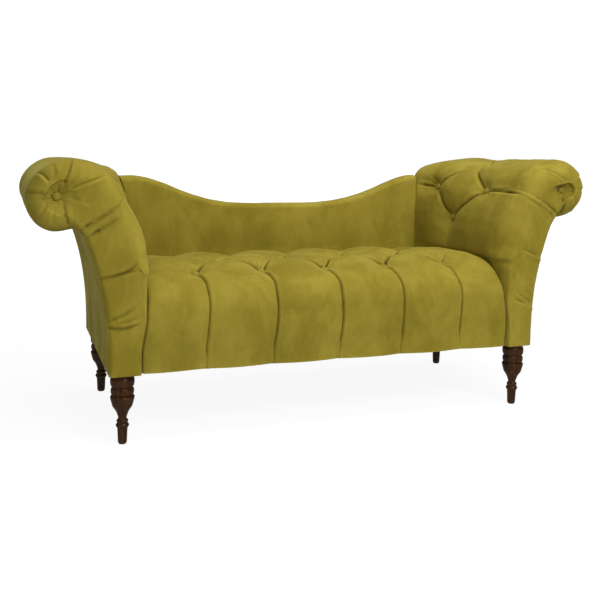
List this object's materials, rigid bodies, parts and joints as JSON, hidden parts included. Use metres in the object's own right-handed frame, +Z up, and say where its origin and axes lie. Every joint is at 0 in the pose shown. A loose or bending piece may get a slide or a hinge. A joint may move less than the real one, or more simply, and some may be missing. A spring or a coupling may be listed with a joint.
{
  "type": "fainting couch",
  "caption": "Upholstered settee with two rolled arms, a deep-buttoned seat, a scooped low back and four turned wooden legs.",
  "frame": {"origin": "floor level under the centre of the couch, at the bottom of the foot glides", "axes": "+X along the width, to the right as seen from the front, +Y from the front to the back, +Z up"},
  "size_m": [1.676, 0.585, 0.754],
  "materials": {
    "velvet": "olive velvet with a short pile",
    "button_velvet": "olive velvet drawn over button shells",
    "walnut": "dark brown satin lacquer",
    "hardwood": "planed, unfinished",
    "plywood": "sawn, unfinished",
    "hardboard": "pressed, smooth one side",
    "foam": "open-cell foam",
    "insulator_cloth": "coarse woven",
    "dust_cloth": "black bonded cloth",
    "spring_steel": "drawn wire",
    "zinc_steel": "zinc plated",
    "brass": "turned",
    "twine": "waxed twine",
    "fibre": "pressed fibre",
    "nylon": "moulded"
  },
  "bodies": {
    "root": {"seat_cover": "velvet", "seat_foam": "foam", "seat_insulator": "insulator_cloth", "seat_springs": "spring_steel", "spring_clips": "spring_steel", "seat_buttons": "button_velvet", "left_arm_cover": "velvet", "right_arm_cover": "velvet", "left_arm_foam": "foam", "right_arm_foam": "foam", "left_arm_front_panel": "velvet", "right_arm_front_panel": "velvet", "left_arm_rear_panel": "velvet", "right_arm_rear_panel": "velvet", "left_outer_arm_panel": "velvet", "right_outer_arm_panel": "velvet", "left_arm_hardboard": "hardboard", "right_arm_hardboard": "hardboard", "left_front_scroll_board": "plywood", "right_front_scroll_board": "plywood", "left_rear_scroll_board": "plywood", "right_rear_scroll_board": "plywood", "left_roll_rail": "hardwood", "right_roll_rail": "hardwood", "left_tack_rail": "hardwood", "right_tack_rail": "hardwood", "left_neck_rail": "hardwood", "right_neck_rail": "hardwood", "left_arm_buttons": "button_velvet", "right_arm_buttons": "button_velvet", "scroll_buttons": "button_velvet", "tufting_twines": "twine", "twine_washers": "fibre", "inner_back_cover": "velvet", "outer_back_cover": "velvet", "back_foam": "foam", "back_hardboard": "hardboard", "back_top_rail": "plywood", "back_bottom_rail": "hardwood", "back_stiles": "hardwood", "front_rail": "hardwood", "rear_rail": "hardwood", "left_end_rail": "hardwood", "right_end_rail": "hardwood", "seat_stretchers": "hardwood", "front_corner_posts": "hardwood", "rear_corner_posts": "hardwood", "dust_cover": "dust_cloth", "front_left_leg": "walnut", "front_right_leg": "walnut", "rear_left_leg": "walnut", "rear_right_leg": "walnut", "leg_plates": "zinc_steel", "hanger_bolts": "zinc_steel", "leg_nuts": "brass", "foot_glides": "nylon"}
  },
  "joints": []
}
